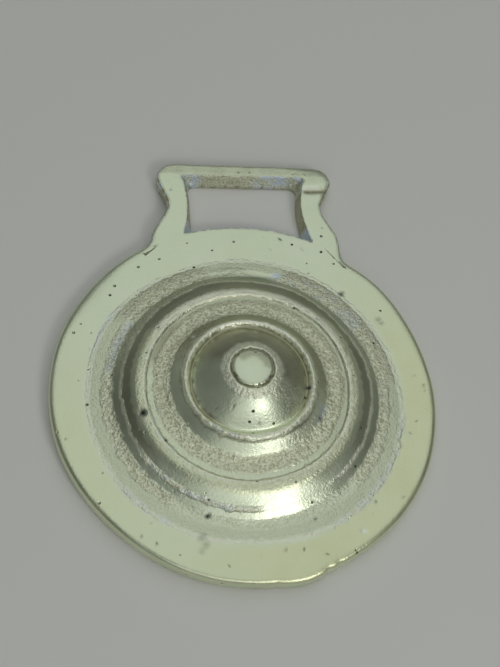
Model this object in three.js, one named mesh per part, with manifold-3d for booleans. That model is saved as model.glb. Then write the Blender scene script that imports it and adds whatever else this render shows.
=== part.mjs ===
// A horse brass: a cast brass pendant for a harness strap. A round disc, stepped up in rings to a domed
// boss with a button on it, carries a slotted loop at its top for the strap.
// Millimetres, +Z up. The brass lies on its flat back, with its face up and its loop towards +Y.
// It is built about the centre of the disc, on the plane of the back, and centred over the origin at the end.

import * as THREE from "three";
import { mergeVertices } from "three/addons/utils/BufferGeometryUtils.js";
import Module from "manifold-3d";

const wasm = await Module();
wasm.setup();

// ---- Driving dimensions --------------------------------------------------------------------------------

const PLATE = 3.6; // thickness of the flat rim and of the loop
const BRASS = { color: "#b9b98a", roughness: 0.36, metalness: 1 };

// The disc. Its edge is rounded off on the face and only broken at the back.
const DISC = { radius: 39.2, roundWidth: 1.7, roundDrop: 1.3, backBreak: 0.6 };

// The relief, from the axis outward. `r` is a radius, `z` a height above the face of the flat rim.
const BUTTON = { r: 3.95, crown: 11.9, z: 11.4 };
const GROOVE = { r: 4.15, z: 10.85 };
const DOME = { r: 4.5, z: 11.05, topSlope: 0.5, foot: 11.35, footZ: 5.95 };
const BEAD = { inner: 11.7, innerZ: 6.05, top: 6.8, outer: 13.5, outerZ: 6.1 };
const TERRACE = { slopeFoot: 15.3, slopeFootZ: 4.55, cove: 18.6, coveZ: 3.72, edge: 20.25, edgeZ: 3.55 };
const RIDGE = { inner: 20.55, z: 3.95, shoulder: 23.3, shoulderZ: 3.0 };
const ARRIS = { r: 25.2, z: 1.85, lip: 25.5, lipZ: 1.62 };
const COVE = { inner: 26.9, innerZ: 0.7, bottom: 27.6, outer: 28.9, z: 0.34 };
const RIM = { inner: 31.6 };

// The hollow under the boss, which keeps the wall an even 3 to 4 mm: radius and height above the back.
const HOLLOW = [[0, 12.2], [4.2, 11.3], [12.3, 5.7], [20, 4.1], [24.5, 2.2], [29, 0]];

// Where the hand-cut outline strays from a true circle: degrees clockwise from the loop, how many degrees
// each stretch reaches to either side, and how far it stands out (or in, below 0).
const OUTLINE_STRAYS = [
  { at: 45, reach: 14, by: 0.8 },
  { at: 145, reach: 14, by: -0.35 },
  { at: 163, reach: 7, by: 0.65 },
  { at: 222, reach: 30, by: -1 },
  { at: 315, reach: 28, by: 1.1 },
];

// Where the rim's edge is worn down in a broad, soft bevel: the middle and the reach of the stretch in the same
// degrees, the radius where it starts, and how far the edge is lowered.
const WORN = { at: -53, reach: 15, from: 34.8, by: 0.75 };

// The loop, drawn upright and symmetrical: [half width, height above the centre of the disc].
const LOOP = {
  inDisc: [20, 31],
  root: [21.2, 32.4],
  neck: [20.6, 36.8],
  waist: [17.1, 46.4],
  ear: [19.5, 53.6],
  corner: [15, 57.5],
  round: 0.9, // round on its outer edges
  lean: 0.03, // how far it leans to the left, in mm for each mm of height above its root
  tilt: 0.055, // how far its right-hand side is raised, in mm for each mm to the right
};
const ROOT_HEIGHT = 34;

// The slot through the loop, as half outlines drawn like the loop's: one on the face and one on the back. Its
// walls run straight from one to the other, so it is narrower at the back and its corners are rounder there.
// Its floor is an arc about the centre of the disc.
const SLOT = {
  face: {
    foot: [14.1, 37.6], footRound: 0.3, waist: 12.65,
    shoulder: [13.7, 53.2], top: [14.2, 54.55], topRound: 1.5,
  },
  back: {
    foot: [12.1, 39.2], footRound: 1.4, waist: 11.9,
    shoulder: [12.1, 51.1], top: [12.3, 53.15], topRound: 2.1,
  },
  waistHeight: 46.5,
  footShift: 0.65, // how far the foot is set over to the right
  lean: 0.04,
  tilt: 0.058, // as the loop's, but only at the top: the floor is level
};

const TURNS = 80; // facets round the disc
const CURVE = 4; // facets along each curved stretch of a profile
const CUT_CLEARANCE = 1; // how far a cutting body reaches past a face

// ---- Helpers -------------------------------------------------------------------------------------------

/** A manifold solid from a closed three.js geometry. */
function solid(geometry) {
  const bare = geometry.clone();
  bare.deleteAttribute("normal");
  bare.deleteAttribute("uv");
  const merged = mergeVertices(bare, 1e-4);
  return new wasm.Manifold(new wasm.Mesh({
    numProp: 3,
    vertProperties: new Float32Array(merged.attributes.position.array),
    triVerts: new Uint32Array(merged.index.array),
  }));
}

/** A three.js geometry from a manifold solid. */
function geometryOf(manifold) {
  const { vertProperties, triVerts } = manifold.getMesh();
  const geometry = new THREE.BufferGeometry();
  geometry.setAttribute("position", new THREE.BufferAttribute(vertProperties, 3));
  geometry.setIndex(new THREE.BufferAttribute(triVerts, 1));
  geometry.computeVertexNormals();
  return geometry;
}

/** Turns a profile of [radius, height] about the Z axis. */
function turned(points) {
  const profile = points.map(([r, z]) => new THREE.Vector2(r, z));
  return new THREE.LatheGeometry(profile, TURNS).rotateX(Math.PI / 2);
}

/** Extrudes a shape from height z0 to z1, with a rounded edge at both ends if `round` is given. */
function extruded(shape, z0, z1, round = 0) {
  const geometry = new THREE.ExtrudeGeometry(shape, {
    depth: z1 - z0 - 2 * round,
    curveSegments: CURVE,
    bevelEnabled: round > 0,
    bevelThickness: round,
    bevelSize: round,
    bevelOffset: -round,
    bevelSegments: 2,
  });
  return geometry.translate(0, 0, z0 + round);
}

/** Closes a right-hand half outline, running from bottom to top, with its mirror image. */
function mirrored(half) {
  const left = half.map((p) => new THREE.Vector2(-p.x, p.y)).reverse();
  return new THREE.Shape([...half, ...left]);
}

// ---- The disc ------------------------------------------------------------------------------------------

/** The profile of the face, as [radius, height above the back], from the axis to the outer edge. */
function faceProfile() {
  const path = new THREE.Path();
  path.moveTo(0, BUTTON.crown);
  path.quadraticCurveTo(BUTTON.r / 2, BUTTON.crown, BUTTON.r, BUTTON.z);
  path.lineTo(GROOVE.r, GROOVE.z);
  path.lineTo(DOME.r, DOME.z);
  // The dome gets steeper at an even rate, a parabola that starts at topSlope.
  const domeMiddle = (DOME.r + DOME.foot) / 2;
  const domeControl = DOME.z - DOME.topSlope * (domeMiddle - DOME.r);
  path.quadraticCurveTo(domeMiddle, domeControl, DOME.foot, DOME.footZ);
  path.lineTo(BEAD.inner, BEAD.innerZ);
  const beadMiddle = (BEAD.inner + BEAD.outer) / 2;
  path.quadraticCurveTo(beadMiddle, 2 * BEAD.top - BEAD.innerZ, BEAD.outer, BEAD.outerZ);
  path.lineTo(TERRACE.slopeFoot, TERRACE.slopeFootZ);
  path.quadraticCurveTo(TERRACE.slopeFoot + 1, TERRACE.coveZ, TERRACE.cove, TERRACE.coveZ);
  path.lineTo(TERRACE.edge, TERRACE.edgeZ);
  path.lineTo(RIDGE.inner, RIDGE.z);
  path.quadraticCurveTo(RIDGE.shoulder - 1, RIDGE.z, RIDGE.shoulder, RIDGE.shoulderZ);
  path.lineTo(ARRIS.r, ARRIS.z);
  path.lineTo(ARRIS.lip, ARRIS.lipZ);
  path.lineTo(COVE.inner, COVE.innerZ);
  path.quadraticCurveTo(COVE.bottom, COVE.z, COVE.outer, COVE.z);
  path.lineTo(RIM.inner, 0);
  path.lineTo(WORN.from, 0);
  path.lineTo((WORN.from + DISC.radius - DISC.roundWidth) / 2, 0);
  path.lineTo(DISC.radius - DISC.roundWidth, 0);
  path.quadraticCurveTo(DISC.radius, 0, DISC.radius, -DISC.roundDrop);
  return path.getPoints(CURVE).map((p) => [p.x, p.y + PLATE]);
}

/** A bell curve round the clock, in degrees clockwise from the loop. */
function bump(clock, { at, reach, by }) {
  const away = ((clock - at + 540) % 360) - 180;
  return by * Math.exp(-((away / reach) ** 2));
}

/** Moves the rim in and out along the outline and wears its face down. The relief inside it stays round. */
function shapeRim(geometry) {
  const position = geometry.attributes.position;
  for (let i = 0; i < position.count; i++) {
    const x = position.getX(i);
    const y = position.getY(i);
    const r = Math.hypot(x, y);
    const clock = THREE.MathUtils.radToDeg(Math.atan2(x, y));
    const share = THREE.MathUtils.smoothstep(r, RIM.inner, DISC.radius - DISC.roundWidth);
    if (share > 0) {
      const stray = OUTLINE_STRAYS.reduce((sum, row) => sum + bump(clock, row), 0);
      const scale = 1 + (share * stray) / r;
      position.setXY(i, x * scale, y * scale);
    }
    if (position.getZ(i) > PLATE / 2 && r > WORN.from) {
      const outward = (r - WORN.from) / (DISC.radius - WORN.from);
      position.setZ(i, position.getZ(i) - bump(clock, WORN) * outward ** 1.5);
    }
  }
  return geometry;
}

/** The disc with its relief on the face and the hollow in its back. */
function disc() {
  const edgeAndBack = [
    [DISC.radius, DISC.backBreak],
    [DISC.radius - DISC.backBreak, 0],
    ...HOLLOW.toReversed(),
  ];
  return solid(shapeRim(turned([...faceProfile(), ...edgeAndBack].toReversed())));
}

// ---- The loop ------------------------------------------------------------------------------------------

/** Leans a geometry of the loop to the left and raises its right-hand side, about the loop's root. */
function leaned(geometry, { lean, tilt }) {
  const skew = new THREE.Matrix4().set(
    1, -lean, 0, lean * ROOT_HEIGHT,
    tilt, 1, 0, 0,
    0, 0, 1, 0,
    0, 0, 0, 1,
  );
  return geometry.applyMatrix4(skew);
}

/** The loop's body, without its slot. */
function loopBody() {
  const half = new THREE.Path();
  half.moveTo(...LOOP.inDisc);
  half.lineTo(...LOOP.root);
  half.quadraticCurveTo(LOOP.neck[0], (LOOP.root[1] + LOOP.neck[1]) / 2, ...LOOP.neck);
  const throat = (LOOP.waist[1] - LOOP.neck[1]) / 3;
  half.bezierCurveTo(
    LOOP.neck[0], LOOP.neck[1] + throat, LOOP.waist[0], LOOP.waist[1] - throat, ...LOOP.waist);
  const flare = (LOOP.ear[1] - LOOP.waist[1]) / 3;
  half.bezierCurveTo(
    LOOP.waist[0], LOOP.waist[1] + flare, LOOP.ear[0], LOOP.ear[1] - flare, ...LOOP.ear);
  half.quadraticCurveTo(LOOP.ear[0], LOOP.corner[1], ...LOOP.corner);
  return solid(leaned(extruded(mirrored(half.getPoints(CURVE)), 0, PLATE, LOOP.round), LOOP));
}

/** The slot's outline on one side of the plate, from its half outline. */
function slotOutline({ foot, footRound, waist, shoulder, top, topRound }) {
  const half = new THREE.Path();
  const floorRadius = Math.hypot(...foot);
  const floorEnd = Math.acos((foot[0] - footRound) / floorRadius);
  half.absarc(0, 0, floorRadius, Math.PI / 2, floorEnd, true);
  half.quadraticCurveTo(...foot, foot[0], foot[1] + footRound);
  const bowedIn = 2 * waist - (shoulder[0] + foot[0]) / 2;
  half.quadraticCurveTo(bowedIn, SLOT.waistHeight, ...shoulder);
  half.quadraticCurveTo(...top, top[0] - topRound, top[1]);
  // The half outline starts on the centre line, where its mirror image would repeat the first point.
  const points = mirrored(half.getPoints(CURVE).slice(1)).getPoints();
  return points.map(({ x, y }) => {
    const height = THREE.MathUtils.clamp((y - foot[1]) / (top[1] - foot[1]), 0, 1);
    const belowWaist = Math.max(0, (SLOT.waistHeight - y) / (SLOT.waistHeight - foot[1]));
    return new THREE.Vector2(
      x - SLOT.lean * (y - ROOT_HEIGHT) + SLOT.footShift * belowWaist,
      y + SLOT.tilt * height * x,
    );
  });
}

/** The body that cuts the slot. Its straight walls pass through both outlines and on past the plate. */
function slotCutter() {
  const face = slotOutline(SLOT.face);
  const back = slotOutline(SLOT.back);
  const cutter = extruded(new THREE.Shape(face), -CUT_CLEARANCE, PLATE + CUT_CLEARANCE);
  const position = cutter.attributes.position;
  const corner = new THREE.Vector2();
  for (let i = 0; i < position.count; i++) {
    corner.set(position.getX(i), position.getY(i));
    const index = face.findIndex((point) => point.distanceTo(corner) < 1e-5);
    const depth = (PLATE - position.getZ(i)) / PLATE;
    corner.lerpVectors(face[index], back[index], depth);
    position.setXY(i, corner.x, corner.y);
  }
  return solid(cutter);
}

// ---- The casting ---------------------------------------------------------------------------------------

const casting = new THREE.Mesh(
  geometryOf(disc().add(loopBody()).subtract(slotCutter())),
  new THREE.MeshStandardMaterial(BRASS),
);
casting.name = "brass_casting";

casting.geometry.computeBoundingBox();
const middle = casting.geometry.boundingBox.getCenter(new THREE.Vector3());
casting.position.set(-middle.x, -middle.y, 0);

const group = new THREE.Group();
group.add(casting);

export default group;
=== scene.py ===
# %% [markdown]
# # A horse brass, cast in one piece
# A horse brass is a pendant of cast brass that hangs on a harness strap. This one is a disc, stepped up in
# rings to a domed boss with a button on it, and a slotted loop for the strap. It lies on its back on a table.
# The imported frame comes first: it holds the real sizes, and everything below is built inside its box.

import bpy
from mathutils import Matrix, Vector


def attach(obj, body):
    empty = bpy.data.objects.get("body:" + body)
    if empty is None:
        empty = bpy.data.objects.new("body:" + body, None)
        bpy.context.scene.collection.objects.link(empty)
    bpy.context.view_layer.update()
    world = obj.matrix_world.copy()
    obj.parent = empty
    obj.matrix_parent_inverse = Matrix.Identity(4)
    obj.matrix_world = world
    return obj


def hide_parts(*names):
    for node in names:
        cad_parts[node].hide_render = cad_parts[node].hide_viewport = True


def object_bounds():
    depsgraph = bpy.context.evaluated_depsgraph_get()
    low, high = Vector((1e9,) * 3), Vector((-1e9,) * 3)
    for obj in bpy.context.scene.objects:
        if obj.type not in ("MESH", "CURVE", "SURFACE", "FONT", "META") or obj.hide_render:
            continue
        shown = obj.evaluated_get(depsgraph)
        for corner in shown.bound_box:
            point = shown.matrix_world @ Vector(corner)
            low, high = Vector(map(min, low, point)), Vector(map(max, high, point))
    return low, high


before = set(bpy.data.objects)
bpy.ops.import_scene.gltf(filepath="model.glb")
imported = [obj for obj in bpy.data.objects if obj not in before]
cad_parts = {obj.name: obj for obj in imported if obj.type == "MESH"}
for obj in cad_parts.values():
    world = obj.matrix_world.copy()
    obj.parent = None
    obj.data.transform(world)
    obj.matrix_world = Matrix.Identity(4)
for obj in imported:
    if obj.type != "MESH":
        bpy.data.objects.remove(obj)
cad_low, cad_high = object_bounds()
print("CAD box in mm:", [round(v * 1000, 2) for v in (*cad_low, *cad_high)])

# %% [markdown]
# ## How the surface is made
# The brass is a thin plate whose face and back are two sheets that meet along the outer edge and in the slot.
# One could sculpt it, or cut it from solids with booleans, but booleans leave long thin faces that take no
# fine relief. Here every sheet is a grid of points worked out with numpy: rings by columns on the disc, and
# lines ruled from the slot to the outline on the loop. Grids that meet share the points of their border, so
# welding those closes the shell. All sizes are in millimetres, measured from the centre of the disc and up
# from the plane of the back, and become metres only when the mesh is made.

# %% Helpers for grids
import math

import bmesh
import bpy
import numpy as np
from mathutils import Matrix, Vector

MM = 0.001


def smoothstep(low, high, value):
    """0 below low, 1 above high, and the S-shaped cubic 3t^2 - 2t^3 between them."""
    t = np.clip((value - low) / (high - low), 0, 1)
    return t * t * (3 - 2 * t)


def bumps(clock, rows):
    """The sum of bell curves round the clock. A row is (degrees, reach to either side, height)."""
    total = np.zeros(np.shape(clock))
    for at, reach, height in rows:
        away = (clock - at + 180) % 360 - 180
        total += height * np.exp(-((away / reach) ** 2))
    return total


def bezier(controls, count):
    """Points along a Bezier curve: the controls are blended pairwise until one point is left."""
    t = np.linspace(0, 1, count)[:, None]
    level = [np.array(c, float) * np.ones((count, 1)) for c in controls]
    while len(level) > 1:
        level = [a * (1 - t) + b * t for a, b in zip(level, level[1:])]
    return level[0]


def spaced(path, intervals):
    """The same path with its points at equal distances along it."""
    length = np.concatenate([[0], np.cumsum(np.linalg.norm(np.diff(path, axis=0), axis=1))])
    at = np.linspace(0, length[-1], intervals + 1)
    return np.stack([np.interp(at, length, path[:, k]) for k in (0, 1)], axis=1)


def normals_of(path):
    """Unit normals to the left of a closed path: the chord between neighbours, turned by 90 degrees."""
    chord = np.roll(path, -1, axis=0) - np.roll(path, 1, axis=0)
    turned = np.stack([-chord[:, 1], chord[:, 0]], axis=1)
    return turned / np.linalg.norm(turned, axis=1, keepdims=True)


def lifted(path, height):
    """A flat path at a height, which is one number or one for each point."""
    return np.concatenate([path, np.broadcast_to(height, len(path))[:, None]], axis=1)


def ruled(first, last, intervals):
    """Straight lines from each point of one path to the same point of another, as a grid of rows."""
    t = np.linspace(0, 1, intervals + 1)[:, None, None]
    return first[None] * (1 - t) + last[None] * t


# %% [markdown]
# ## The face of the disc
# The face is turned, so one profile describes it: a height for each radius. The pattern maker's rings were
# cut by hand, though, and none is a true circle. Each ring gets a slow wander in and out round the clock,
# which fades towards its neighbours. The creases of the profile are softened a little, as sand casting
# leaves them.

# %% Profile of the face
PLATE = 3.6  # thickness of the flat rim and of the loop
BUTTON_RADIUS, BUTTON_CROWN, BUTTON_EDGE = 3.95, 11.9, 11.4
GROOVE = (4.17, 10.8)
DOME_TOP, DOME_FOOT, DOME_TOP_SLOPE = (4.5, 11.05), (11.35, 5.95), 0.5
BEAD_INNER, BEAD_OUTER, BEAD_TOP = (11.7, 6.05), (13.5, 6.1), 6.8
SLOPE_FOOT, COVE_END, TERRACE_EDGE = (15.3, 4.55), (18.6, 3.72), (20.25, 3.55)
RIDGE, SHOULDER = (20.55, 3.95), (23.3, 3.0)
ARRIS, ARRIS_LIP = (25.2, 1.85), (25.5, 1.62)
COVE_INNER, COVE_BOTTOM, COVE_OUTER = (26.9, 0.7), (27.6, 0.34), (28.9, 0.34)
RIM_INNER = (31.6, 0)
JOIN_RADIUS = 34.5  # the turned part of the plate ends here, on the flat rim
CREASE = 0.09  # how softly the creases are rounded, as the spread of a bell curve

dome_middle = (DOME_TOP[0] + DOME_FOOT[0]) / 2
dome_control = DOME_TOP[1] - DOME_TOP_SLOPE * (dome_middle - DOME_TOP[0])
bead_middle = (BEAD_INNER[0] + BEAD_OUTER[0]) / 2
face_points = np.concatenate([
    bezier([(0, BUTTON_CROWN), (BUTTON_RADIUS / 2, BUTTON_CROWN), (BUTTON_RADIUS, BUTTON_EDGE)], 30),
    [GROOVE],
    bezier([DOME_TOP, (dome_middle, dome_control), DOME_FOOT], 40),
    bezier([BEAD_INNER, (bead_middle, 2 * BEAD_TOP - BEAD_INNER[1]), BEAD_OUTER], 30),
    bezier([SLOPE_FOOT, (SLOPE_FOOT[0] + 1, COVE_END[1]), COVE_END], 30),
    [TERRACE_EDGE],
    bezier([RIDGE, (SHOULDER[0] - 1, RIDGE[1]), SHOULDER], 30),
    [ARRIS, ARRIS_LIP, COVE_INNER],
    bezier([COVE_INNER, COVE_BOTTOM, COVE_OUTER], 20),
    [RIM_INNER, (JOIN_RADIUS + 5, 0)],
])


def softened(points, spread):
    """A profile as a function of the radius: lines between the points, averaged under a bell curve."""
    step = 0.01
    fine = np.arange(-5, points[-1, 0] + 5, step)
    height = np.interp(np.abs(fine), points[:, 0], points[:, 1])
    reach = np.arange(-4 * spread, 4 * spread + step, step)
    bell = np.exp(-0.5 * (reach / spread) ** 2)
    smooth = np.convolve(height, bell / bell.sum(), mode="same")
    return lambda radius: np.interp(radius, fine, smooth)


face_height = softened(face_points, CREASE)
print("face profile at radius 0, 10, 20, 30:", np.round(face_height(np.array([0, 10, 20, 30.0])), 2))

# %% Rings and columns
COLUMNS = 512
LOOP_COLUMNS = 50  # columns on either side of the loop's centre line that end in the loop, not in the rim
clock = np.arange(COLUMNS) * 360 / COLUMNS  # degrees clockwise from the loop, seen from above
round_x, round_y = np.sin(np.radians(clock)), np.cos(np.radians(clock))

# The wander of five rings, by radius: where it has faded away on either side, and its bumps.
RING_WANDER = [
    ((8.0, 11.8, 13.4), [(170, 25, -0.4), (240, 25, 0.35), (345, 25, 0.27)]),
    ((11.8, 13.4, 16.5), [(40, 20, 0.2), (112, 12, 0.2), (160, 20, -0.12), (225, 25, -0.15), (340, 14, 0.1)]),
    ((17.5, 20.35, 23.5), [(38, 22, 0.3), (0, 15, 0.2), (92, 14, -0.2), (160, 18, -0.25), (225, 20, 0.14),
                           (262, 20, -0.1), (312, 14, -0.15)]),
    ((22.8, 25.3, 28.4), [(20, 12, 0.35), (47, 14, -0.2), (77, 10, 0.2), (147, 10, -0.2), (180, 14, 0.1),
                          (255, 20, -0.22), (300, 16, -0.1), (341, 12, 0.33)]),
    ((28.6, 31.5, JOIN_RADIUS), [(125, 28, 0.5), (177, 14, -0.65), (230, 18, 0.15), (298, 14, 0.4),
                                 (337, 16, -0.42), (60, 20, -0.15)]),
]
# Rings are set close where the profile turns or the skin is rough: (from, to, distance apart).
RING_SPACING = [
    (0, 3.9, 0.49), (3.9, 4.7, 0.1), (4.7, 6.3, 0.27), (6.3, 11.1, 0.44), (11.1, 13.8, 0.2),
    (13.8, 15.4, 0.32), (15.4, 19.7, 0.28), (19.7, 20.9, 0.12), (20.9, 23, 0.35), (23, 25, 0.33),
    (25, 25.8, 0.14), (25.8, 27.2, 0.28), (27.2, 31, 0.3), (31, 32.1, 0.17), (32.1, JOIN_RADIUS, 0.6),
]


def ring_radii(spacing):
    """The radii of the rings, evenly set within each stretch."""
    stretches = [np.linspace(a, b, max(1, round((b - a) / step)), endpoint=False) for a, b, step in spacing]
    return np.append(np.concatenate(stretches), spacing[-1][1])


def turned_sheet(radii, height, wander):
    """A turned sheet: each ring's points lie at its radius plus its wander, at the profile's height."""
    real = np.repeat(radii[:, None], COLUMNS, axis=1)
    for (inner, at, outer), rows in wander:
        fade = np.interp(radii, [inner, at, outer], [0, 1, 0])
        real += fade[:, None] * bumps(clock, rows)[None]
    level = np.repeat(height(radii)[:, None], COLUMNS, axis=1)
    return np.stack([real * round_x, real * round_y, level], axis=2)


face_rings = ring_radii(RING_SPACING)
face_sheet = turned_sheet(face_rings, lambda r: PLATE + face_height(r), RING_WANDER)
print("face:", len(face_rings), "rings of", COLUMNS, "points")

# %% [markdown]
# ## The back of the disc
# The back of a pressed or cast brass follows the boss, so that the wall stays three or four millimetres thick
# and the casting cools evenly. It isn't seen when the brass hangs, so its hollow is plain and smooth.

# %% Profile of the back
HOLLOW = np.array([(0, 12.2), (4.2, 11.3), (12.3, 5.7), (20, 4.1), (24.5, 2.2), (29, 0), (45, 0)], float)
HOLLOW_SOFTNESS = 0.5
BACK_SPACING = [(0, 2.5, 1.25), (2.5, 6, 0.9), (6, 26, 2.2), (26, 30.5, 0.9), (30.5, JOIN_RADIUS, 2)]
back_height = softened(HOLLOW, HOLLOW_SOFTNESS)
back_rings = ring_radii(BACK_SPACING)
back_sheet = turned_sheet(back_rings, lambda r: back_height(r) * (r < JOIN_RADIUS), [])
crown_wall = PLATE + face_height(0.0) - back_height(0.0)
print("back:", len(back_rings), "rings; wall at the crown", round(crown_wall, 2), "mm")

# %% [markdown]
# ## The outline
# The rim's edge was filed by eye, so it wanders too, with a few small nicks at the lower right. The loop's
# sides draw in to a waist and flare to two rounded ears. Small hollow fillets join them to the rim. The whole
# outline is one closed path, because one rounded edge runs all the way round it.

# %% Outline of the disc and the loop
DISC_RADIUS = 39.2
OUTLINE_STRAYS = [(45, 14, 0.8), (145, 14, -0.35), (163, 7, 0.65), (222, 30, -1), (315, 28, 1.1)]
EDGE_NICKS = [(156, 1.2, -0.35), (152.5, 0.9, -0.25), (171, 0.9, -0.12)]
LOOP_IN_DISC, LOOP_ROOT, LOOP_NECK = (20, 31), (21.2, 32.4), (20.6, 36.8)
LOOP_WAIST, LOOP_EAR, LOOP_CORNER = (17.1, 46.4), (19.5, 53.6), (15, 57.5)
LOOP_LEAN, LOOP_TILT, ROOT_HEIGHT = 0.03, 0.055, 34
FILLET_REACH = 2.2  # how far up the loop's side a fillet runs
TANGENT_STEP = 0.99  # the share of the corner's angle at which the rim's direction is taken
EVENED = 3  # how many neighbours on either side a normal is averaged with
SIDE_STEPS, TOP_STEPS = 66, 60


def disc_edge(degrees):
    """The radius of the rim's outline at degrees clockwise from the loop."""
    return DISC_RADIUS + bumps(degrees, OUTLINE_STRAYS) + bumps(degrees, EDGE_NICKS)


def leaned(path, lean, tilt):
    """A shear: a point moves left by lean for each mm above the root, and up by tilt for each mm right."""
    x, y = path[:, 0], path[:, 1]
    return np.stack([x - lean * (y - ROOT_HEIGHT), y + tilt * x], axis=1)


def mirrored(path):
    """The path's mirror image in the loop's centre line, run the other way."""
    return (path * (-1, 1))[::-1]


neck_middle = (LOOP_ROOT[1] + LOOP_NECK[1]) / 2
throat = (LOOP_WAIST[1] - LOOP_NECK[1]) / 3
flare = (LOOP_EAR[1] - LOOP_WAIST[1]) / 3
ear_curve = bezier([LOOP_EAR, (LOOP_EAR[0], LOOP_CORNER[1]), LOOP_CORNER], 41)
half_side = np.concatenate([
    bezier([LOOP_IN_DISC, LOOP_ROOT], 20)[:-1],
    bezier([LOOP_ROOT, (LOOP_NECK[0], neck_middle), LOOP_NECK], 30)[:-1],
    bezier([LOOP_NECK, (LOOP_NECK[0], LOOP_NECK[1] + throat), (LOOP_WAIST[0], LOOP_WAIST[1] - throat),
            LOOP_WAIST], 60)[:-1],
    bezier([LOOP_WAIST, (LOOP_WAIST[0], LOOP_WAIST[1] + flare), (LOOP_EAR[0], LOOP_EAR[1] - flare),
            LOOP_EAR], 50)[:-1],
    ear_curve[:21],
])
half_top = ear_curve[20:]


def on_rim(degrees):
    """The point of the rim's outline at degrees clockwise from the loop."""
    turn = math.radians(degrees)
    return disc_edge(degrees) * np.array([math.sin(turn), math.cos(turn)])


def side_from_rim(path, corner_clock):
    """A side of the loop, running up from the rim: a fillet that leaves the rim smoothly, then the side."""
    outside = np.hypot(*path.T) > disc_edge(np.degrees(np.arctan2(*path.T)))
    crossing = int(np.argmax(outside))
    climb = np.cumsum(np.linalg.norm(np.diff(path[crossing:], axis=0), axis=1))
    landing = crossing + int(np.argmax(climb > FILLET_REACH))
    start = on_rim(corner_clock)
    tangent = on_rim(corner_clock * TANGENT_STEP) - start
    bend = start + tangent * np.linalg.norm(path[crossing] - start) / np.linalg.norm(tangent)
    return np.concatenate([bezier([start, bend, path[landing]], 12)[:-1], path[landing:]])


corner_clock = LOOP_COLUMNS * 360 / COLUMNS
right_side = side_from_rim(leaned(half_side, LOOP_LEAN, LOOP_TILT), corner_clock)
left_side = side_from_rim(leaned(half_side * (-1, 1), LOOP_LEAN, LOOP_TILT), -corner_clock)
loop_top = leaned(np.concatenate([half_top, mirrored(half_top)]), LOOP_LEAN, LOOP_TILT)
# The columns that end in the rim, from the left of the loop round to its right.
rim_columns = np.arange(COLUMNS - LOOP_COLUMNS, LOOP_COLUMNS - 1, -1)
rim_edge = disc_edge(clock[rim_columns])
rim_path = np.stack([rim_edge * round_x[rim_columns], rim_edge * round_y[rim_columns]], axis=1)

# Counterclockwise from the right-hand fillet: up, over the top, down, and round the rim.
outline = np.concatenate([
    spaced(right_side, SIDE_STEPS)[:-1],
    spaced(loop_top, TOP_STEPS)[:-1],
    spaced(left_side[::-1], SIDE_STEPS)[:-1],
    rim_path[:-1],
])
LOOP_STEPS = 2 * SIDE_STEPS + TOP_STEPS
inward = normals_of(outline)
inward = sum(np.roll(inward, k, axis=0) for k in range(-EVENED, EVENED + 1))  # softens the turn at corners
inward /= np.linalg.norm(inward, axis=1, keepdims=True)
print("outline:", len(outline), "points,", np.round(np.ptp(outline, axis=0), 2), "mm across")

# %% [markdown]
# ## The edge of the plate
# A filed edge is rounded over towards the face and only broken at the back. One profile is carried along the
# outline: a round-over that starts some way in from the edge, the wall, and the break at the back. How far in
# it starts changes along the way: the upper left of the rim falls away in a broad soft bevel, where years of
# polishing wore it down.

# %% Carry the edge's profile along the outline
ROUND_WIDTH, ROUND_DROP = 1.5, 1.2
WIDER_ROUND = [(-55, 14, 2.7), (60, 22, 0.7), (195, 30, -0.3)]
DEEPER_ROUND = [(-55, 16, 0.8), (60, 22, 0.2), (180, 30, -0.1)]
LOOP_ROUND_WIDTH, LOOP_ROUND_DROP = 1.0, 1.0
CORNER_BEVEL, CORNER_BEVEL_AT, CORNER_BEVEL_REACH = 1.7, (16.5, 57), 4.5  # the worn top right corner
LOOP_BLEND = (0.3, 3)  # how far past the rim the edge turns from the rim's rounding to the loop's
BACK_BREAK = 0.6
ROUND_ROWS, WALL_ROWS, BREAK_ROWS = 7, 3, 2

outline_clock = np.degrees(np.arctan2(*outline.T))
beyond_rim = smoothstep(*LOOP_BLEND, np.hypot(*outline.T) - disc_edge(outline_clock))
round_width = ROUND_WIDTH + bumps(outline_clock, WIDER_ROUND)
from_corner = np.hypot(*(outline - CORNER_BEVEL_AT).T)
loop_width = LOOP_ROUND_WIDTH + CORNER_BEVEL * np.exp(-((from_corner / CORNER_BEVEL_REACH) ** 2))
round_width += beyond_rim * (loop_width - round_width)
round_drop = ROUND_DROP + bumps(outline_clock, DEEPER_ROUND)
round_drop += beyond_rim * (LOOP_ROUND_DROP - round_drop)


def edge_rows():
    """Rows of (distance in from the outline, height): a parabola, a straight wall and a chamfer."""
    for t in np.linspace(0, 1, ROUND_ROWS + 1):
        yield round_width * (1 - t) ** 2, PLATE - round_drop * t ** 2
    for t in np.linspace(0, 1, WALL_ROWS + 1)[1:]:
        yield 0 * round_width, (PLATE - round_drop) * (1 - t) + BACK_BREAK * t
    for t in np.linspace(0, 1, BREAK_ROWS + 1)[1:]:
        yield BACK_BREAK * t + 0 * round_width, BACK_BREAK * (1 - t) + 0 * round_drop


edge_sheet = np.stack([lifted(outline + inward * inset[:, None], height) for inset, height in edge_rows()])
print("edge: rounded over", round(round_width.min(), 2), "to", round(round_width.max(), 2), "mm wide")

# %% [markdown]
# ## The slot
# The strap passes through a slot whose walls are drafted, so that the pattern could be drawn out of the sand:
# it is narrower at the back. Its floor is an arc about the disc's centre. Its front edges are worn round by
# the strap, most of all along the top.

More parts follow.
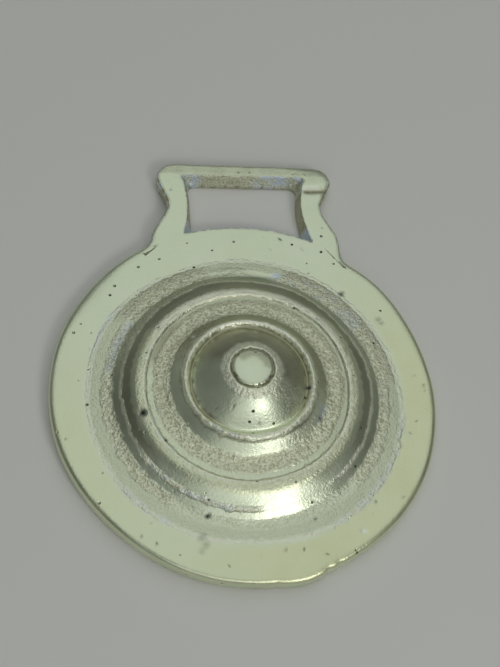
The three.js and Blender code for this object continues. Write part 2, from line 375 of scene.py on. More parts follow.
# %% Slot outline at any depth
SLOT_FACE = {"foot": (14.1, 37.6), "foot_round": 0.3, "waist": 12.65,
             "shoulder": (13.7, 53.2), "top": (14.2, 54.55), "top_round": 1.5}
SLOT_BACK = {"foot": (12.1, 39.2), "foot_round": 1.4, "waist": 11.9,
             "shoulder": (12.1, 51.1), "top": (12.3, 53.15), "top_round": 2.1}
SLOT_WAIST_HEIGHT, SLOT_FOOT_SHIFT, SLOT_LEAN, SLOT_TILT = 46.5, 0.65, 0.04, 0.058
RADIAL_STEPS, FACE_WEB_ROWS, BACK_WEB_ROWS = 7, 12, 5
SLOT_ROUND, SLOT_TOP_ROUND, SLOT_BACK_BREAK = 0.35, 0.35, 0.3
SLOT_TOP_FROM, SLOT_TOP_TO = 51, 54  # the heights between which the edge's rounding widens
SLOT_ROUND_ROWS, SLOT_WALL_ROWS, SLOT_ROUND_DEPTH = 4, 4, 1.1  # the rounding's depth, as a share of its width


def slot_outline(foot, foot_round, waist, shoulder, top, top_round):
    """The slot's outline on one side of the plate: an arc for its floor, and Bezier sides and corners."""
    floor_radius = math.hypot(*foot)
    floor_end = math.acos((foot[0] - foot_round) / floor_radius)
    angles = np.linspace(math.pi - floor_end, floor_end, 81)
    floor = floor_radius * np.stack([np.cos(angles), np.sin(angles)], axis=1)
    above_foot = (foot[0], foot[1] + foot_round)
    foot_curve = bezier([floor[-1], foot, above_foot], 11)
    bowed_in = 2 * waist - (shoulder[0] + foot[0]) / 2
    corner = bezier([shoulder, top, (top[0] - top_round, top[1])], 21)
    wall = bezier([above_foot, (bowed_in, SLOT_WAIST_HEIGHT), shoulder], 60)
    side = np.concatenate([foot_curve[5:-1], wall[:-1], corner[:11]])
    over_top = np.concatenate([corner[10:], mirrored(corner[10:])])
    whole_floor = np.concatenate([mirrored(foot_curve[:6])[:-1], floor[:-1], foot_curve[:6]])
    path = np.concatenate([
        spaced(side, RADIAL_STEPS + SIDE_STEPS)[:-1],
        spaced(over_top, TOP_STEPS)[:-1],
        spaced(mirrored(side), RADIAL_STEPS + SIDE_STEPS)[:-1],
        spaced(whole_floor, 2 * LOOP_COLUMNS)[:-1],
    ])
    across, up = path.T
    share = np.clip((up - foot[1]) / (top[1] - foot[1]), 0, 1)
    below_waist = np.maximum(0, (SLOT_WAIST_HEIGHT - up) / (SLOT_WAIST_HEIGHT - foot[1]))
    leaning = across - SLOT_LEAN * (up - ROOT_HEIGHT) + SLOT_FOOT_SHIFT * below_waist
    return np.stack([leaning, up + SLOT_TILT * share * across], axis=1)


slot_on_face, slot_on_back = slot_outline(**SLOT_FACE), slot_outline(**SLOT_BACK)


def slot_at(height, opened):
    """The slot's outline at a height, on straight lines from face to back, opened by a distance all round."""
    depth = (PLATE - height) / PLATE
    path = slot_on_face * (1 - depth) + slot_on_back * depth
    return path - normals_of(path) * np.reshape(opened, (-1, 1))


slot_opened = SLOT_ROUND + SLOT_TOP_ROUND * smoothstep(SLOT_TOP_FROM, SLOT_TOP_TO, slot_on_face[:, 1])
slot_rows = []
for t in np.linspace(0, 1, SLOT_ROUND_ROWS + 1):
    slot_rows.append((PLATE - SLOT_ROUND_DEPTH * slot_opened.mean() * t ** 2, slot_opened * (1 - t) ** 2))
wall_top = slot_rows[-1][0]
for t in np.linspace(0, 1, SLOT_WALL_ROWS + 1)[1:]:
    slot_rows.append((wall_top * (1 - t) + SLOT_BACK_BREAK * t, 0 * slot_opened))
slot_rows.append((0.0, SLOT_BACK_BREAK + 0 * slot_opened))
slot_sheet = np.stack([lifted(slot_at(height, opened), height) for height, opened in slot_rows])
print("slot:", np.round(np.ptp(slot_sheet[-2], axis=0), 2)[:2], "mm at the back")

# %% [markdown]
# ## Sheets between the borders
# What is left is flat. On the rim, straight lines run from the last ring out to the rounded edge. On the loop
# they run from the slot out to a closed border: up the last line of the rim, along the loop's own edge, down
# the first line of the rim, and back along the last ring. The same is done on the back.


# %% Rim and loop, on both sides
def flat_sheets(ring, edge, slot, web_rows):
    """The rim's sheet from the ring to the edge, and the loop's sheet from the slot to its closed border."""
    rim = ruled(ring[rim_columns], np.concatenate([edge[LOOP_STEPS:], edge[:1]]), RADIAL_STEPS)
    under_loop = ring[np.arange(-LOOP_COLUMNS, LOOP_COLUMNS + 1)]
    border = np.concatenate([rim[:-1, -1], edge[:LOOP_STEPS], rim[:0:-1, 0], under_loop[:-1]])
    return rim, ruled(slot, border, web_rows)


face_rim, face_web = flat_sheets(face_sheet[-1], edge_sheet[0], slot_sheet[0], FACE_WEB_ROWS)
back_rim, back_web = flat_sheets(back_sheet[-1], edge_sheet[-1], slot_sheet[-1], BACK_WEB_ROWS)


WELD_DISTANCE = 0.002


def weld(name, sheets):
    """One mesh from all the grids. A sheet is (points, True where its last column joins its first)."""
    points, faces, first = [], [], 0
    for grid, closed in sheets:
        rows, columns = grid.shape[:2]
        index = first + np.arange(rows * columns).reshape(rows, columns)
        if closed:
            index = np.concatenate([index, index[:, :1]], axis=1)
        quads = np.stack([index[:-1, :-1], index[:-1, 1:], index[1:, 1:], index[1:, :-1]], axis=2)
        points.append(grid.reshape(-1, 3))
        faces.append(quads.reshape(-1, 4))
        first += rows * columns
    mesh = bpy.data.meshes.new(name)
    mesh.from_pydata(np.concatenate(points).tolist(), [], np.concatenate(faces).tolist())
    welding = bmesh.new()
    welding.from_mesh(mesh)
    bmesh.ops.remove_doubles(welding, verts=welding.verts, dist=WELD_DISTANCE)
    bmesh.ops.recalc_face_normals(welding, faces=welding.faces)
    open_edges = sum(not edge.is_manifold for edge in welding.edges)
    triangles = sum(len(face.verts) - 2 for face in welding.faces)
    welding.to_mesh(mesh)
    welding.free()
    print(name, "has", triangles, "triangles and", open_edges, "open edges")
    return mesh


mesh = weld("horse_brass", [
    (face_sheet, True), (back_sheet, True), (edge_sheet, True), (slot_sheet, True),
    (face_rim, False), (back_rim, False), (face_web, True), (back_web, True),
])

# %% [markdown]
# ## Cast skin, grains, wear and painted light
# Sand casting leaves a skin of small grains. Polishing took it off the rim and the high places, and it stayed
# in the coves between the rings. Real relief is moved in the mesh, so that it shows from every side, and the
# same masks are kept on the points as attributes for the material: how granular each place is, its tarnish
# and painted shade, its bluish white flecks, its burnish and painted highlights, its yellowing, its pits, and
# the painted glints in its knocks. Most masks are a band of radii times an arc of the clock.

# %% Read the points back
count = len(mesh.vertices)
flat = np.empty(count * 3)
mesh.vertices.foreach_get("co", flat)
points = flat.reshape(-1, 3).copy()
mesh.vertices.foreach_get("normal", flat)
normals = flat.reshape(-1, 3).copy()
x, y, z = points.T
radius = np.hypot(x, y)
point_clock = np.degrees(np.arctan2(x, y))
FACE_TURN, FACE_ABOVE = (0.15, 0.5), 1  # how far a normal of the face points up, and where the face starts
on_face = smoothstep(*FACE_TURN, normals[:, 2]) * (z > FACE_ABOVE)
wander_here = np.zeros(count)
for (inner, at, outer), rows in RING_WANDER:
    wander_here += np.interp(radius, [inner, at, outer], [0, 1, 0]) * bumps(point_clock, rows)
ring = radius - wander_here  # the radius that a point would have on true circles


LATTICE = 128  # the random numbers repeat after this many cells


def lattice_noise(cell, seed):
    """Random numbers from -1 to 1 on a cubic lattice, blended smoothly between its corners."""
    table = np.random.default_rng(seed).uniform(-1, 1, (LATTICE, LATTICE, LATTICE))
    scaled = points / cell
    corner = np.floor(scaled).astype(int)
    t = scaled - corner
    t = t * t * (3 - 2 * t)
    value = np.zeros(count)
    for dx, dy, dz in np.ndindex(2, 2, 2):
        share = np.prod(np.where([dx, dy, dz], t, 1 - t), axis=1)
        i, j, k = ((corner + [dx, dy, dz]) % LATTICE).T
        value += share * table[i, j, k]
    return value


# The patches' borders are ragged, so their radii and angles are read off with some noise.
RAGGED_RING, RAGGED_ALONG = 0.22, 1.6
ragged_ring = ring + RAGGED_RING * (lattice_noise(1.1, 21) + 0.6 * lattice_noise(0.5, 22))
ragged_clock = point_clock + np.degrees(RAGGED_ALONG * lattice_noise(2.2, 23) / np.maximum(radius, 5))


def band(inner, outer, soft):
    """1 between two radii of the rings, fading over a soft distance centred on each."""
    half = soft / 2
    rise = smoothstep(inner - half, inner + half, ragged_ring)
    return rise * (1 - smoothstep(outer - half, outer + half, ragged_ring))


def arc(start, end, soft):
    """1 from start to end degrees, clockwise, fading over a soft angle centred on each."""
    away = np.abs((ragged_clock - (start + end) / 2 + 180) % 360 - 180)
    return 1 - smoothstep((end - start - soft) / 2, (end - start + soft) / 2, away)


def mask(rows):
    """The highest of several patches: (inner, outer, soft mm, start, end, soft degrees, strength)."""
    patches = []
    for inner, outer, soft, start, end, fade, strength in rows:
        around = arc(start, end, fade) if end - start < 360 else 1
        patches.append(strength * band(inner, outer, soft) * around)
    return np.max(patches, axis=0) * on_face


print(count, "points, of which", int((on_face > 0.5).sum()), "on the face")

# %% [markdown]
# ## Where the skin, the stains and the painted light lie
# Each table below has one row for a patch, as mask() takes it. The slot and the loop's edge aren't round the
# disc's centre, so their masks come from the place and the tilt of the surface instead.

# %% Masks for the skin
GRANULAR = [
    (31.2, 31.9, 0.3, 0, 360, 0, 0.35), (31.2, 32.0, 0.3, -155, -125, 15, 0.5),
    (31.2, 32.0, 0.3, -85, -50, 15, 0.5), (31.1, 32.1, 0.4, 95, 150, 20, 0.6),
    (26.9, 29.0, 0.6, -150, -60, 20, 0.85), (27.0, 31.0, 0.7, -60, -18, 14, 0.9),
    (27.0, 29.6, 0.8, -20, 2, 8, 0.5), (27.0, 31.0, 0.7, 14, 82, 12, 0.9),
    (27.0, 29.2, 0.7, 80, 132, 16, 0.85), (27.0, 28.8, 0.7, 130, 210, 20, 0.4),
    (28.8, 31.1, 0.6, 0, 360, 0, 0.2), (25.4, 27.0, 0.6, -80, -8, 12, 0.5),
    (24.9, 25.7, 0.3, -185, -125, 12, 1.0), (24.9, 25.5, 0.3, -125, 140, 20, 0.5),
    (20.3, 21.1, 0.3, 0, 360, 0, 0.45), (20.3, 21.6, 0.5, 50, 180, 30, 0.5),
    (20.9, 22.6, 0.5, 0, 360, 0, 0.25), (15.7, 18.9, 0.8, 0, 360, 0, 0.9),
    (17.5, 19.5, 0.8, -50, 100, 20, 0.8), (18.6, 20.2, 0.5, 0, 360, 0, 0.2),
    (13.8, 15.6, 0.5, -72, -28, 10, 0.8), (14.0, 16.2, 0.8, 50, 150, 30, 0.4),
    (11.9, 13.3, 0.4, -185, -118, 14, 0.9), (11.9, 13.3, 0.4, 88, 124, 10, 0.8),
    (11.9, 13.3, 0.4, 0, 360, 0, 0.45), (5.0, 11.2, 0.8, 58, 135, 30, 0.4),
    (4.6, 6.1, 0.5, 0, 360, 0, 0.6),
]
# Mostly painted shade, with some tarnish. The thin rings round the button, inside and outside the bead and
# just inside the ridge are painted shade in the grooves. The upper halves of the dome and the button's crown
# and the steep slopes between the rings are darkened on the sides turned from the light, and left clear
# towards the bottom, where it falls. The faint ring in the outer cove is tarnish.
TARNISH_AND_SHADE = [
    (28.9, 31.1, 0.8, 0, 360, 0, 0.16), (25.5, 27.1, 0.5, -125, 132, 30, 0.3),
    (23.3, 25.0, 0.5, -130, 120, 30, 0.65), (22.3, 23.6, 0.5, -62, 42, 16, 0.6),
    (20.05, 20.35, 0.1, -180, 180, 0, 0.6), (18.8, 20.1, 0.5, -78, -46, 10, 0.6),
    (18.6, 20.1, 0.5, -46, 130, 20, 0.25), (13.7, 15.8, 0.6, -72, 95, 30, 0.6),
    (13.45, 13.7, 0.12, 0, 360, 0, 0.6), (11.15, 11.85, 0.25, -150, 130, 30, 0.85),
    (6.0, 11.2, 0.9, -72, 105, 36, 0.7), (6.0, 11.2, 0.9, 105, 140, 20, 0.25),
    (4.0, 4.4, 0.1, 0, 360, 0, 1.0), (1.9, 3.9, 0.9, -48, 80, 25, 0.5),
]
# Bluish white glints, painted on the rough rings.
BLUISH = [
    (31.1, 32.2, 0.4, -155, -125, 15, 0.5), (31.3, 32.1, 0.4, -82, -55, 10, 0.6),
    (31.0, 32.1, 0.4, 95, 148, 15, 0.5), (24.9, 25.7, 0.3, -180, -132, 12, 0.7),
    (20.3, 20.9, 0.2, -152, -112, 12, 0.9), (11.9, 13.2, 0.4, -180, -122, 12, 0.6),
    (11.9, 13.0, 0.4, 88, 122, 10, 0.7), (14.9, 16.1, 0.6, 108, 122, 6, 0.6),
    (27.6, 29.4, 0.6, 10, 15, 3, 0.8), (27.2, 28.6, 0.6, -85, -55, 12, 0.4),
    (27.2, 30.5, 0.8, 20, 60, 12, 0.3),
]
# Painted highlights over some burnish: the thin bright lines where the raised edges of the rings and the bead
# catch the light, strongest on the arcs that face it, and the light ring round the button.
BURNISH_AND_HIGHLIGHT = [
    (31.35, 31.95, 0.25, 0, 360, 0, 0.8), (25.0, 25.6, 0.2, -5, 55, 10, 1.0),
    (25.0, 25.5, 0.2, 55, 140, 20, 0.9), (25.0, 25.4, 0.2, -190, -88, 14, 0.9),
    (20.35, 20.9, 0.2, 0, 360, 0, 1.0), (12.0, 13.3, 0.3, -60, 50, 20, 1.0),
    (12.0, 13.3, 0.3, 0, 360, 0, 0.6), (20.9, 22.4, 0.5, -62, 60, 18, 0.7),
    (4.6, 6.1, 0.5, 0, 360, 0, 0.5),
]
YELLOWED = [
    (32.4, 45, 1.5, -152, -84, 60, 0.55), (32.4, 45, 1.5, 52, 196, 60, 0.8),
    (21, 23, 0.6, 0, 360, 0, 0.5), (15.5, 19, 1, 0, 360, 0, 0.4), (32.4, 45, 1.5, 196, 210, 50, 0.5),
]
granular, tarnish_and_shade, bluish = mask(GRANULAR), mask(TARNISH_AND_SHADE), mask(BLUISH)
burnish_and_highlight, yellowed = mask(BURNISH_AND_HIGHLIGHT), mask(YELLOWED)
blotch, fleck = lattice_noise(1.9, 31), lattice_noise(0.6, 32)
bluish *= smoothstep(-0.5, 0.5, fleck + blotch)

# Inside the slot the skin was never touched.
SLOT_REACH, SLOT_WALL_TURN, LOOP_FROM = 1.6, 0.75, 36
SLOT_TOP_WALL = 51  # above this height lies the slot's top wall
FLECKS_LEFT, FLECKS_RIGHT, FLECKS_LOW = (-9, -12), (0, 4), (42, 40.5)  # where the bluish white flecks begin and are full
slot_distance = np.min(
    np.linalg.norm(points[:, None, :2] - slot_at(PLATE, 0)[None, ::6], axis=2), axis=1)
in_slot = (slot_distance < SLOT_REACH) * (np.abs(normals[:, 2]) < SLOT_WALL_TURN) * (radius > LOOP_FROM)
top_wall = y > SLOT_TOP_WALL
granular = np.maximum(granular, 0.8 * in_slot)
flecked_across = smoothstep(*FLECKS_LEFT, x) + smoothstep(*FLECKS_RIGHT, x) * smoothstep(-0.5, 0.2, blotch)
fleck_spots = smoothstep(-0.7, 0.3, blotch + fleck)
bluish = np.maximum(bluish, 0.9 * in_slot * np.clip(flecked_across, 0, 1) * fleck_spots * top_wall)
bluish = np.maximum(bluish, 0.8 * in_slot * smoothstep(*FLECKS_LOW, y))
tarnish_and_shade = np.maximum(tarnish_and_shade, in_slot * (1 - bluish) * np.where(top_wall, 0.25, 0.6))

# The outer edge of the loop was filed only here and there.
EDGE_FROM, EDGE_ABOVE, EDGE_TURN = 37.5, 34, (0.93, 0.75)
POST_OUTSIDE, POST_BELOW = 15, 55  # the posts' outer sides, clear of the bar
loop_edge = (radius > EDGE_FROM) * (y > EDGE_ABOVE) * (in_slot == 0) * smoothstep(*EDGE_TURN, normals[:, 2])
post_side = (np.abs(x) > POST_OUTSIDE) * (y < POST_BELOW)
granular = np.maximum(granular, 0.7 * loop_edge)
bluish = np.maximum(bluish, 0.9 * loop_edge * smoothstep(0.1, 0.6, fleck + blotch) * post_side)
tarnish_and_shade = np.maximum(tarnish_and_shade, 0.6 * loop_edge * (1 - bluish))

# The front of the bar, where the strap lay, is a little browner.
BAR_FROM, BAR_BEYOND = (54.2, 55), 50
bar_front = on_face * smoothstep(*BAR_FROM, y - SLOT_TILT * x) * (radius > BAR_BEYOND)
tarnish_and_shade = np.maximum(tarnish_and_shade, bar_front * (0.25 + 0.1 * blotch))
granular = np.maximum(granular, 0.2 * bar_front)

# %% [markdown]
# ## Pits, knocks and a ledge
# Gas left small pits in the casting, and use added a few knocks, each with a painted white glint. Each is a
# small rounded dip. On the right-hand post, two flows of metal met and left a low ledge with a rough groove
# below it.

# %% Marks
# Casting pits and knocks: x, y, radius, depth, and how dark the hole is, or, where it is below 0, how bright
# the painted glint in the knock is.
PITS = [
    (-20.55, -7.3, 0.8, 0.3, 1.0), (-7.35, -26.5, 0.5, 0.25, 1.0), (20.5, 24.9, 0.5, 0.25, 1.0),
    (13.3, -26.1, 0.3, 0.2, 0.8), (7.35, 37.8, 0.35, 0.15, 1.0), (28.3, 19.1, 0.6, 0.2, 0.4),
    (28.9, 18.2, 0.4, 0.2, 0.6), (22.65, -28, 0.5, 0.2, -0.7), (-8.3, -30.6, 0.8, 0.12, 0.3),
    (-7.4, -31.9, 0.7, 0.12, 0.3), (-8.2, -33.2, 0.6, 0.1, 0.25), (-15.8, -12.8, 0.25, 0.12, 0.9),
    (11.6, -1.2, 0.4, 0.15, 0.9), (14.2, -6.9, 0.5, 0.1, 0.6), (-6.5, -7.2, 0.22, 0.08, 0.8),
    (-3.5, -7.4, 0.25, 0.08, 0.7), (1.8, -10, 0.25, 0.1, 0.5), (-11.3, 9.4, 0.4, 0.1, -0.8),
    (-16.6, -32.1, 0.25, 0.1, 0.8), (-19.5, -30.8, 0.22, 0.1, 0.7), (-18, -28.3, 0.22, 0.1, 0.6),
    (36.8, 3.9, 0.28, 0.12, 0.7), (36.9, 2.9, 0.22, 0.12, 0.6), (35, 6.2, 0.22, 0.1, 0.6),
    (34.8, -4.3, 0.22, 0.1, 0.6), (33.1, -7, 0.2, 0.1, 0.5), (30.8, -20.8, 0.25, 0.1, 0.6),
    (25.2, -21.9, 0.3, 0.1, 0.7), (15.3, -32.9, 0.25, 0.1, 0.7), (11, -32, 0.22, 0.1, 0.7),
    (7.5, -32.3, 0.22, 0.1, 0.6), (-3.1, -35.7, 0.22, 0.1, 0.6), (2.9, -33.4, 0.2, 0.1, 0.5),
    (12.2, 35.7, 0.25, 0.1, 0.6), (5.2, 34.8, 0.22, 0.1, 0.5), (-16.9, 49.1, 0.25, 0.1, 0.6),
    (-1.8, 55.3, 0.2, 0.1, 0.7), (-19.8, 33.9, 0.3, 0.1, 0.5), (-31.6, 8, 0.2, 0.1, 0.5),
    (-34.9, -12, 0.22, 0.1, 0.5),
]
pitted = np.zeros(count)
knock_glint = np.zeros(count)
sunk = np.zeros(count)
for px, py, size, depth, dark in PITS:
    inside = np.exp(-(((x - px) ** 2 + (y - py) ** 2) / size ** 2) ** 1.5) * on_face
    sunk = np.maximum(sunk, depth * inside)
    pitted = np.maximum(pitted, max(dark, 0) * inside)
    knock_glint = np.maximum(knock_glint, max(-dark, 0) * inside)

# A cold shut, where two flows of metal met, crosses the right-hand post as a small ledge.
LEDGE_HEIGHT, LEDGE_X, LEDGE_SLOPE = 52.4, 14.6, 0.1
GROOVE_BELOW, GROOVE_WIDTH, GROOVE_DEPTH, BRIGHT_WIDTH, BRIGHT_TO = 1.1, 0.55, 0.22, 0.45, 16.6
ledge_line = y - (LEDGE_HEIGHT + LEDGE_SLOPE * (x - LEDGE_X))
ledge_here = on_face * (x > 11) * smoothstep(36, 38, y)
ledge = ledge_here * (smoothstep(-0.5, 0.5, ledge_line) * (1 - smoothstep(0.5, 6, ledge_line)))
groove = ledge_here * np.exp(-((ledge_line + GROOVE_BELOW) / GROOVE_WIDTH) ** 2) * smoothstep(12.4, 13.4, x)
sunk = np.maximum(sunk, GROOVE_DEPTH * groove)
# The groove is darkened as painted shade in the crevice, and roughened.
tarnish_and_shade = np.maximum(tarnish_and_shade, 0.9 * groove)
granular = np.maximum(granular, 0.9 * groove)
# A painted highlight along the ledge's edge, which faces the light.
burnish_and_highlight = np.maximum(burnish_and_highlight, ledge_here * np.exp(-((ledge_line / BRIGHT_WIDTH) ** 2)) * (x < BRIGHT_TO))

# %% [markdown]
# ## Relief and place
# Every point now moves along its normal: in and out with the grain, slowly with the waves that filing leaves,
# and down into the pits. Nothing may sink through the plane that the brass lies on.

# %% Move the points
GRAIN_HEIGHT, FINE_GRAIN_HEIGHT, WAVE_HEIGHT, LEDGE_RISE = 0.11, 0.11, 0.07, 0.35
grain = lattice_noise(0.85, 11) * GRAIN_HEIGHT + lattice_noise(0.45, 12) * FINE_GRAIN_HEIGHT
wave = lattice_noise(7, 13) * WAVE_HEIGHT + lattice_noise(2.6, 14) * WAVE_HEIGHT / 3
shift = granular * grain + wave * (0.4 + 0.6 * on_face) - sunk + LEDGE_RISE * ledge
moved = points + normals * shift[:, None]
moved[:, 2] = np.maximum(moved[:, 2], 0)
print("relief moved in and out by up to", round(float(np.abs(shift).max()), 3), "mm")

# The middle of the CAD box is the middle of the brass, which places the disc's centre.
brass_low, brass_high = moved.min(axis=0), moved.max(axis=0)
cad_middle = (cad_low + cad_high) / 2
disc_centre = Vector((
    cad_middle.x - (brass_low[0] + brass_high[0]) / 2 * MM,
    cad_middle.y - (brass_low[1] + brass_high[1]) / 2 * MM,
    0))
placed = moved * MM + np.array(disc_centre)
mesh.vertices.foreach_set("co", placed.ravel())
for name, values in (("granular", granular), ("tarnish_and_shade", tarnish_and_shade), ("bluish", bluish), ("burnish_and_highlight", burnish_and_highlight),
                     ("pitted", pitted), ("knock_glint", knock_glint), ("yellowed", yellowed)):
    mesh.attributes.new(name, "FLOAT", "POINT").data.foreach_set("value", values.astype(np.float32))
mesh.shade_smooth()
mesh.update()
brass = bpy.data.objects.new("horse_brass", mesh)
bpy.context.scene.collection.objects.link(brass)
print("disc centre at", [round(v * 1000, 3) for v in disc_centre], "mm")

# %% [markdown]
# ## Old yellow brass
# Brass of about two thirds copper and one third zinc is a pale yellow that leans to green when it has been
# polished with a powder and left for a while. The rim is filed and polished, so it has a soft, slightly
# broken shine. The untouched skin in the coves is duller and speckled with painted glints, and the steep
# walls carry grey-brown tarnish and painted shade. Bluish white flecks lie in the rough places, painted
# glints on the rings, and the raised edges carry painted highlights over their burnish.


# %% Node helper and colours
def linear(hex_colour):
    """An sRGB hex colour as linear light: x / 12.92 below 0.04045, else ((x + 0.055) / 1.055) ^ 2.4."""
    srgb = [int(hex_colour[i:i + 2], 16) / 255 for i in (1, 3, 5)]
    return (*[v / 12.92 if v <= 0.04045 else ((v + 0.055) / 1.055) ** 2.4 for v in srgb], 1)


def add_node(tree, kind, settings=None, inputs=None):
    """Adds one node. Settings are set by name. An input takes a value, or a link if it is given a socket."""
    made = tree.nodes.new(kind)
    for name, value in (settings or {}).items():
        setattr(made, name, value)
    for name, value in (inputs or {}).items():
        if isinstance(value, bpy.types.NodeSocket):
            tree.links.new(value, made.inputs[name])
        else:
            made.inputs[name].default_value = value
    return made


MIX_A, MIX_B, MIX_RESULT = 6, 7, 2  # the colour sockets of a Mix node

material = bpy.data.materials.new("sand_cast_yellow_brass_filed_and_polished")
material.use_nodes = True
tree = material.node_tree
tree.nodes.clear()
place = add_node(tree, "ShaderNodeTexCoord").outputs["Object"]
masks = {
    name: add_node(tree, "ShaderNodeAttribute", {"attribute_name": name}).outputs["Fac"]
    for name in ("granular", "tarnish_and_shade", "bluish", "burnish_and_highlight", "pitted", "knock_glint", "yellowed")
}


def mixed(factor, first, second):
    """Shorthand for a colour mix, through the one node helper."""
    return add_node(tree, "ShaderNodeMix", {"data_type": "RGBA"},
                    {"Factor": factor, MIX_A: first, MIX_B: second}).outputs[MIX_RESULT]


def noise(scale, detail):
    """Shorthand for a noise texture in the brass's own space. The scale is in waves for each metre."""
    return add_node(tree, "ShaderNodeTexNoise", None,
                    {"Vector": place, "Scale": scale, "Detail": detail}).outputs["Fac"]


cloud, grit = noise(120, 4), noise(2100, 2)


def ranged(value, low, high, to_low=0.0, to_high=1.0):
    """Shorthand for a Map Range, through the one node helper."""
    ends = {"From Min": low, "From Max": high, "To Min": to_low, "To Max": to_high}
    return add_node(tree, "ShaderNodeMapRange", None, {"Value": value, **ends}).outputs["Result"]


def math_of(operation, first, second, third=0.0):
    """Shorthand for a Math node, through the one node helper."""
    values = {0: first, 1: second, 2: third}
    return add_node(tree, "ShaderNodeMath", {"operation": operation}, values).outputs[0]


# Pin holes: the points of a Voronoi pattern that lie near the surface, in some of its cells.
pins = add_node(tree, "ShaderNodeTexVoronoi", None, {"Vector": place, "Scale": 300})
pin_here = math_of("MULTIPLY", ranged(pins.outputs["Distance"], 0.10, 0.05), ranged(cloud, 0.4, 0.6))

POLISHED_DARKER, POLISHED_LIGHTER, YELLOW_BRASS = linear("#e3ebcd"), linear("#edf4da"), linear("#e6e8bc")
# The near white of the skin's grains is painted glints, where facets would catch the light.
SKIN_GAP, SKIN_GRAIN_GLINT = linear("#c6c39f"), linear("#fbfbe6")
# This grey-brown is both the tarnish and the painted shade.
TARNISH_AND_SHADE_DARKER, TARNISH_AND_SHADE_LIGHTER = linear("#8d8870"), linear("#a29d80")
# Near white for the painted highlights on the raised edges; bluish white for the flecks, which on the rings
# are painted glints.
BLUISH_WHITE_FLECK, BURNISH_HIGHLIGHT_WHITE, PIN_HOLE = linear("#dce6f4"), linear("#fbfbe8"), linear("#4a4636")
# Pure white is the painted glint in the knocks.
PIT_DIRT, KNOCK_GLINT_WHITE = linear("#20222e"), linear("#ffffff")

polished = mixed(ranged(cloud, 0.35, 0.65), POLISHED_DARKER, POLISHED_LIGHTER)
yellow_share = math_of("MULTIPLY", masks["yellowed"], ranged(cloud, 0.3, 0.6, 0.6, 1.0))
polished = mixed(yellow_share, polished, YELLOW_BRASS)
# The skin's speckle is painted glints: near white grains on duller brass.
skin = mixed(ranged(grit, 0.32, 0.6), SKIN_GAP, SKIN_GRAIN_GLINT)
colour = mixed(math_of("MULTIPLY", masks["granular"], 0.9), polished, skin)
# The tarnish and painted shade darken the colour where their mask says.
tarnish_and_shade_colour = mixed(ranged(cloud, 0.35, 0.65), TARNISH_AND_SHADE_DARKER, TARNISH_AND_SHADE_LIGHTER)
colour = mixed(masks["tarnish_and_shade"], colour, tarnish_and_shade_colour)
# Bluish white flecks; on the rings they are painted glints.
colour = mixed(masks["bluish"], colour, BLUISH_WHITE_FLECK)
# A painted highlight, near white, along the raised edges.
colour = mixed(math_of("MULTIPLY", masks["burnish_and_highlight"], 0.8), colour, BURNISH_HIGHLIGHT_WHITE)
colour = mixed(pin_here, colour, PIN_HOLE)
colour = mixed(masks["pitted"], colour, PIT_DIRT)
# A painted white glint in the knocks.
colour = mixed(masks["knock_glint"], colour, KNOCK_GLINT_WHITE)

roughness = math_of("MULTIPLY_ADD", masks["granular"], 0.2, ranged(cloud, 0.3, 0.7, 0.33, 0.43))
grit_share = math_of("MULTIPLY_ADD", masks["granular"], 0.85, 0.15)
bump_height = math_of("SUBTRACT", math_of("MULTIPLY", grit, grit_share), pin_here)
bump = add_node(tree, "ShaderNodeBump", None,
                {"Height": bump_height, "Strength": 1.0, "Distance": 0.0003}).outputs["Normal"]
shader = add_node(tree, "ShaderNodeBsdfPrincipled", None,
                  {"Base Color": colour, "Metallic": 1.0, "Roughness": roughness, "Normal": bump})
add_node(tree, "ShaderNodeOutputMaterial", None, {"Surface": shader.outputs["BSDF"]})
mesh.materials.append(material)

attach(brass, "root")
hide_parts("brass_casting")

# %% [markdown]
# ## Floor, light and camera
# A brass shows what is around it. A wide soft box overhead, set a little behind, gives the rim its even
# shine. A smaller, brighter one in front and to the right makes the highlights on the dome and the rings, and
# a wide dim one in front fills the slopes that face it.

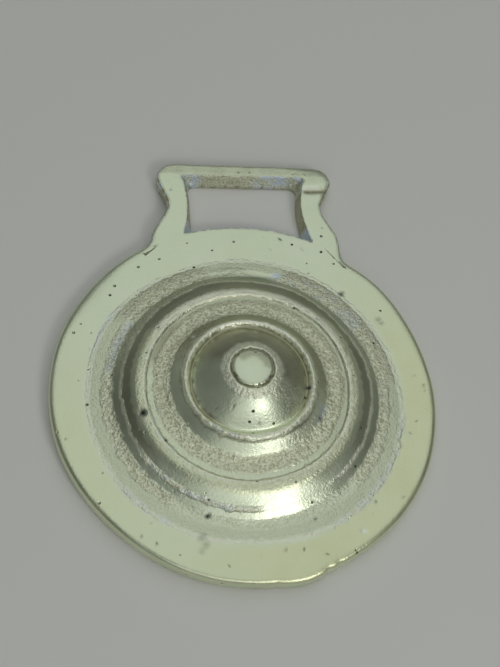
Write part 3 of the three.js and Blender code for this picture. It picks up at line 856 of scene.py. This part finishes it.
# %% Floor
FLOOR_SIZE, FLOOR_GAP = 1.6, 0.0001  # the gap keeps the floor clear of the flat back
floor_mesh = bpy.data.meshes.new("floor")
half = FLOOR_SIZE / 2
floor_corners = [(-half, -half, 0), (half, -half, 0), (half, half, 0), (-half, half, 0)]
floor_mesh.from_pydata(floor_corners, [], [(0, 1, 2, 3)])
floor = bpy.data.objects.new("floor", floor_mesh)
floor.location.z = cad_low.z - FLOOR_GAP
bpy.context.scene.collection.objects.link(floor)
floor_material = bpy.data.materials.new("matt_pale_paper")
floor_material.use_nodes = True
floor_shader = floor_material.node_tree.nodes["Principled BSDF"]
floor_shader.inputs["Base Color"].default_value = linear("#e4e2dd")
floor_shader.inputs["Roughness"].default_value = 0.9
floor_mesh.materials.append(floor_material)

# %% Lights
# Name, direction from the disc, distance, width, depth (metres), radiance and colour.
SOFT_BOXES = [
    ("overhead", (0.05, 0.36, 0.93), 0.75, 1.0, 1.15, 0.5, (0.95, 1.0, 0.98)),
    ("key", (0.44, -0.63, 0.64), 0.7, 0.18, 0.18, 7.0, (1.0, 1.0, 0.98)),
    ("front", (0.0, -0.75, 0.66), 0.9, 0.9, 0.6, 0.6, (0.97, 1.0, 1.0)),
]
for name, direction, distance, width, depth, radiance, tint in SOFT_BOXES:
    lamp = bpy.data.lights.new(name, "AREA")
    lamp.shape, lamp.size, lamp.size_y = "RECTANGLE", width, depth
    lamp.energy = radiance * math.pi * width * depth
    lamp.color = tint
    towards = Vector(direction).normalized()
    holder = bpy.data.objects.new(name, lamp)
    holder.location = disc_centre + towards * distance
    holder.rotation_euler = towards.to_track_quat("Z", "Y").to_euler()
    bpy.context.scene.collection.objects.link(holder)

world = bpy.data.worlds.new("dim_studio")
world.use_nodes = True
world.node_tree.nodes["Background"].inputs["Color"].default_value = linear("#5b5f5e")
world.node_tree.nodes["Background"].inputs["Strength"].default_value = 1.0
bpy.context.scene.world = world
bpy.context.scene.view_settings.view_transform = "Standard"

# %% Camera
CAMERA_PLACE = Vector((-0.02303, -0.09825, 0.20045))  # from the disc's centre
CAMERA_RIGHT = Vector((0.99277, 0, 0.12))
CAMERA_UP = Vector((-0.05901, 0.87074, 0.48818))
camera_data = bpy.data.cameras.new("camera")
camera_data.sensor_width = 36
camera_data.lens = 59.37
camera = bpy.data.objects.new("camera", camera_data)
turn = Matrix((CAMERA_RIGHT, CAMERA_UP, CAMERA_RIGHT.cross(CAMERA_UP))).transposed()
camera.matrix_world = Matrix.Translation(disc_centre + CAMERA_PLACE) @ turn.to_4x4()
bpy.context.scene.collection.objects.link(camera)
bpy.context.scene.camera = camera
